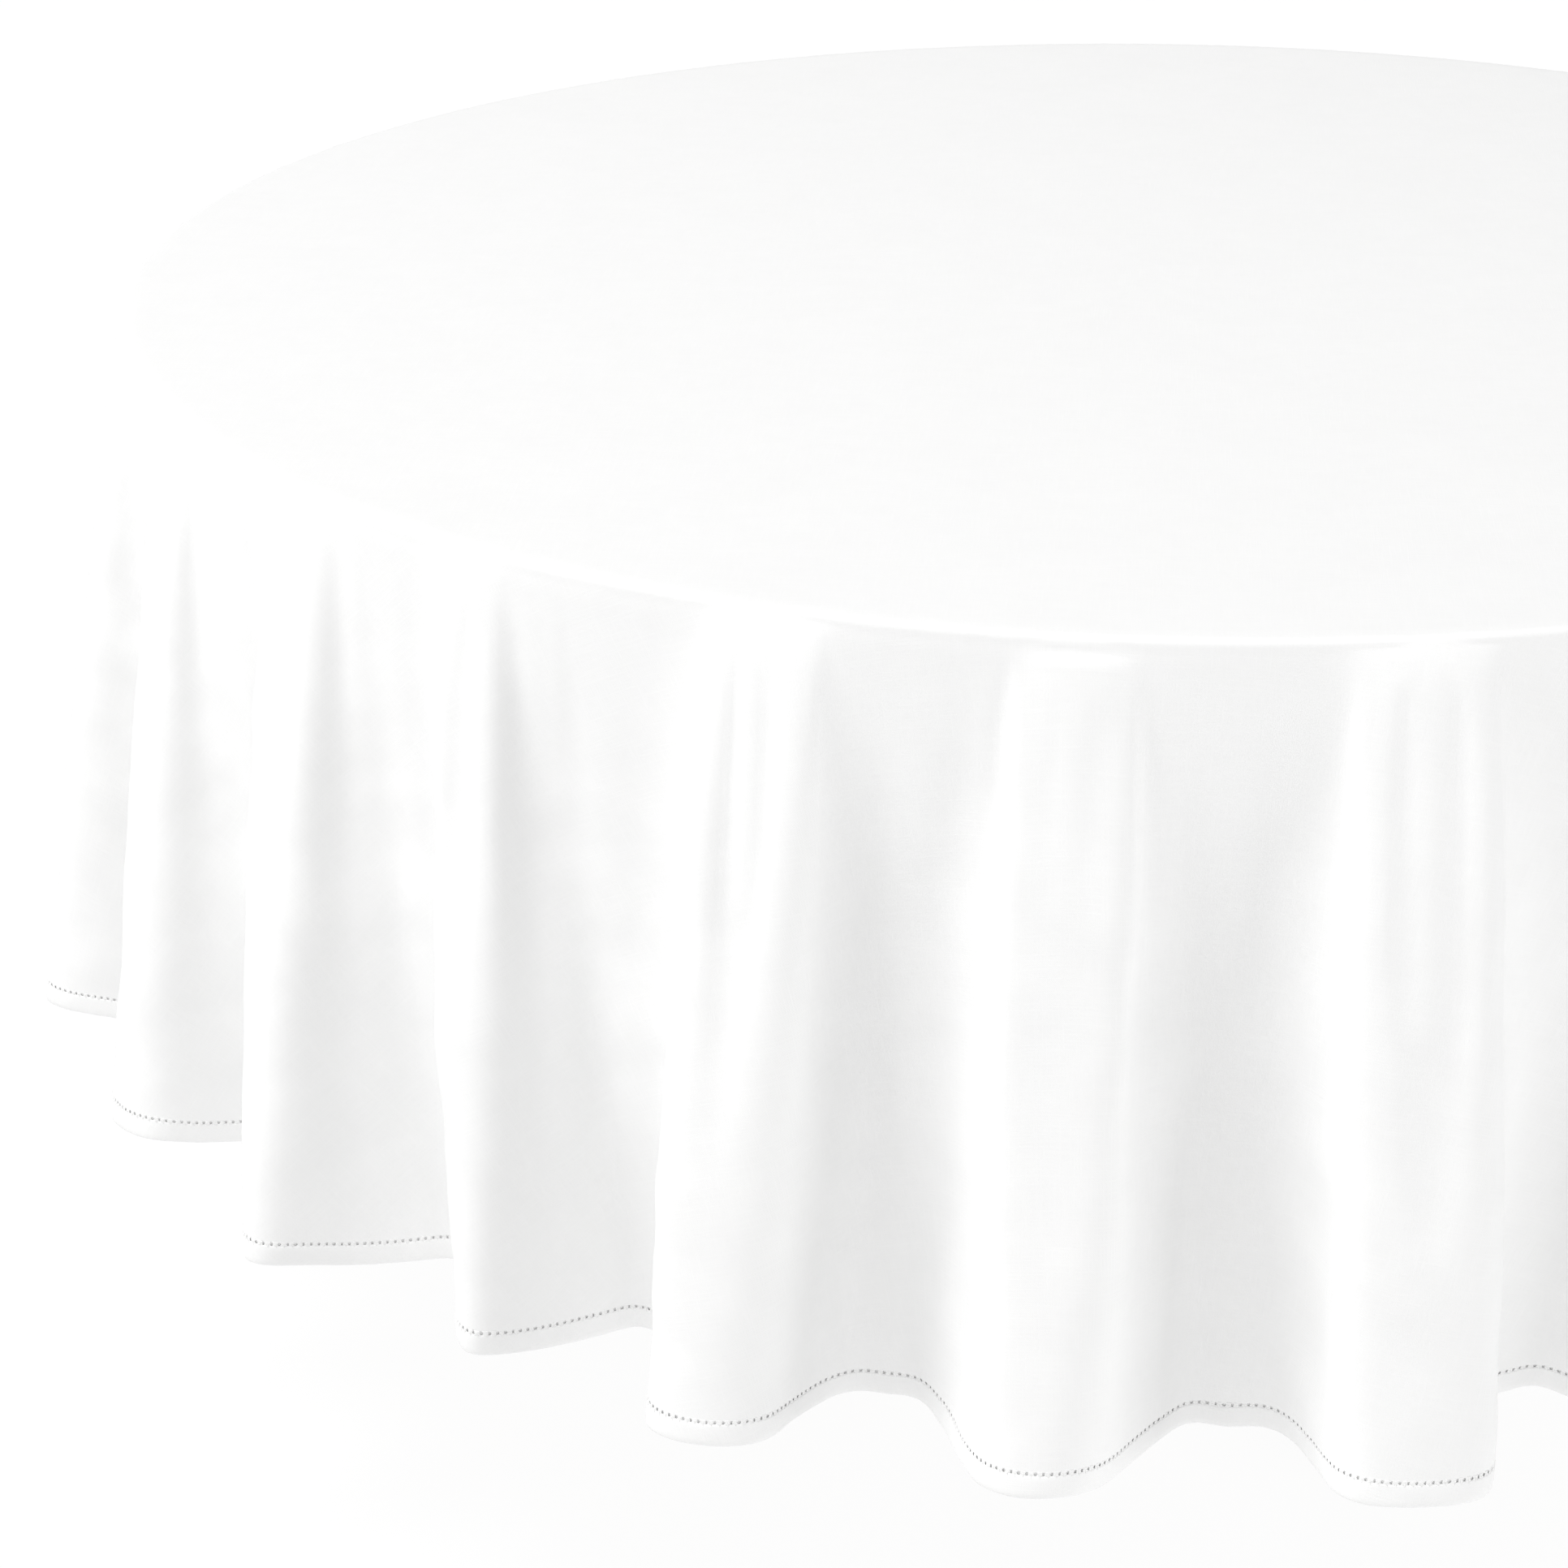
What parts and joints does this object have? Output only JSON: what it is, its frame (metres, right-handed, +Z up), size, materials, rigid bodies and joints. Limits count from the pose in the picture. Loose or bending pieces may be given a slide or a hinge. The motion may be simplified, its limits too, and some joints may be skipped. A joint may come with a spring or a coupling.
{
  "type": "tablecloth on a table",
  "caption": "Round white hemstitched tablecloth hanging in deep folds from a round pedestal table.",
  "frame": {"origin": "on the floor, under the centre of the round top", "axes": "+Z up, -Y towards the front"},
  "size_m": [1.5816, 1.5857, 0.7636],
  "materials": {
    "cloth": "woven linen and cotton, matt, slubbed",
    "cloth_hem": "the same cloth, doubled",
    "thread": "cotton sewing thread",
    "plywood": "raw plywood",
    "laminate": "matt laminate",
    "backing": "matt backing sheet",
    "edging": "satin edge band",
    "cast_paint": "textured powder coat on cast iron",
    "tube_paint": "satin powder coat",
    "zinc": "zinc plated",
    "nylon": "moulded nylon"
  },
  "bodies": {
    "table": {"tabletop_core": "plywood", "top_laminate": "laminate", "backing_sheet": "backing", "edge_band": "edging", "top_spider": "cast_paint", "spider_screws": "zinc", "column": "tube_paint", "tie_rod": "zinc", "tie_rod_washers": "zinc", "tie_rod_nuts": "zinc", "base_casting": "cast_paint"},
    "tablecloth": {"tablecloth_panel": "cloth", "hem_band": "cloth_hem", "hemstitch_thread": "thread"},
    "glide_front_right": {"glide_stem_front_right": "zinc", "glide_pad_front_right": "nylon"},
    "glide_back_right": {"glide_stem_back_right": "zinc", "glide_pad_back_right": "nylon"},
    "glide_back_left": {"glide_stem_back_left": "zinc", "glide_pad_back_left": "nylon"},
    "glide_front_left": {"glide_stem_front_left": "zinc", "glide_pad_front_left": "nylon"}
  },
  "joints": [
    {"name": "cloth_lift", "type": "slide", "parent": "table", "child": "tablecloth", "axis": [0, 0, 1], "range_m": [0, 0.5]},
    {"name": "glide_front_right_screw", "type": "slide", "parent": "table", "child": "glide_front_right", "axis": [0, 0, -1], "range_m": [0, 0.012]},
    {"name": "glide_back_right_screw", "type": "slide", "parent": "table", "child": "glide_back_right", "axis": [0, 0, -1], "range_m": [0, 0.012]},
    {"name": "glide_back_left_screw", "type": "slide", "parent": "table", "child": "glide_back_left", "axis": [0, 0, -1], "range_m": [0, 0.012]},
    {"name": "glide_front_left_screw", "type": "slide", "parent": "table", "child": "glide_front_left", "axis": [0, 0, -1], "range_m": [0, 0.012]}
  ]
}
